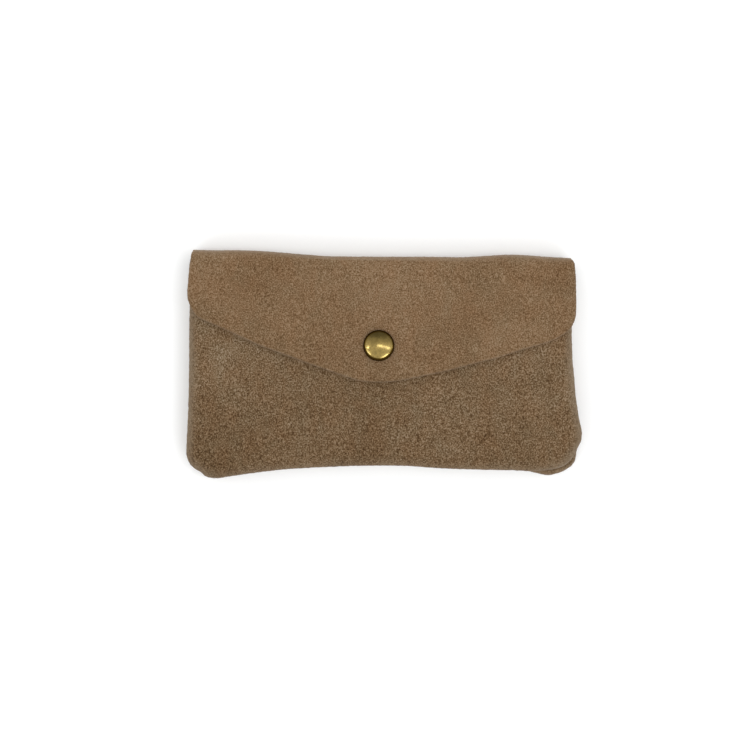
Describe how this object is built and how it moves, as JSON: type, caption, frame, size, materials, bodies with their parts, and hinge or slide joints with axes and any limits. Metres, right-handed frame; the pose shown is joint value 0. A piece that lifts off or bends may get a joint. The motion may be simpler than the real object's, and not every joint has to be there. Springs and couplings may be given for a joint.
{
  "type": "suede envelope wallet",
  "caption": "Soft suede clutch wallet: front and rear pouches, zipped coin pocket between them, and a pointed flap that folds over the top and closes with a brass press stud.",
  "frame": {"origin": "middle of the bounding box's bottom face: the wallet lies on its back", "axes": "+X across the wallet, +Y towards the folded top edge, +Z out of the front"},
  "size_m": [0.1914, 0.1091, 0.0236],
  "materials": {
    "suede_back": "brushed suede nap, matt",
    "suede_flap": "brushed suede nap, matt, fine",
    "suede_front": "brushed suede nap, matt, coarse",
    "divider_leather": "split leather, matt",
    "thread": "twisted polyester thread",
    "antique_brass": "antiqued, polished high spots",
    "snap_brass": "satin",
    "spring_wire": "drawn wire",
    "zip_tape": "woven polyester tape",
    "zip_brass": "antiqued satin"
  },
  "bodies": {
    "purse": {"back_panel": "suede_back", "front_panel": "suede_front", "front_divider": "divider_leather", "rear_divider": "divider_leather", "seam_front": "thread", "seam_rear": "thread", "snap_stud": "snap_brass", "snap_stud_post": "snap_brass", "snap_backing": "divider_leather", "zip_tape_front": "zip_tape", "zip_tape_rear": "zip_tape", "zip_teeth_front": "zip_brass", "zip_teeth_rear": "zip_brass", "zip_stitch_front": "thread", "zip_stitch_rear": "thread", "zip_top_stops": "zip_brass", "zip_bottom_stop": "zip_brass"},
    "spine": {"flap_spine": "suede_back"},
    "flap": {"flap_panel": "suede_flap", "snap_cap": "antique_brass", "snap_cap_post": "snap_brass", "snap_socket": "snap_brass", "snap_spring": "spring_wire"},
    "slider": {"zip_slider": "zip_brass"},
    "pull": {"zip_pull": "zip_brass"}
  },
  "joints": [
    {"name": "flap_fold_lower", "type": "hinge", "parent": "purse", "child": "spine", "pos_m": [0.00112, 0.05122, 0.00137], "axis": [-0.9998, 0.0218, 0], "range_deg": [0, 88]},
    {"name": "flap_fold_upper", "type": "hinge", "parent": "spine", "child": "flap", "pos_m": [0.00112, 0.05122, 0.01933], "axis": [-0.9998, 0.0218, 0], "range_deg": [0, 88]},
    {"name": "zip_slide", "type": "slide", "parent": "purse", "child": "slider", "axis": [-1, 0, 0], "range_m": [0, 0.142], "deforming": ["zip_teeth_front", "zip_teeth_rear"]},
    {"name": "zip_pull_swing", "type": "hinge", "parent": "slider", "child": "pull", "pos_m": [0.072, 0.03545, 0.0095], "axis": [0, 0, -1], "range_deg": [0, 175]}
  ],
  "couplings": [
    {"joint": "flap_fold_upper", "follows": "flap_fold_lower", "ratio": 1}
  ]
}
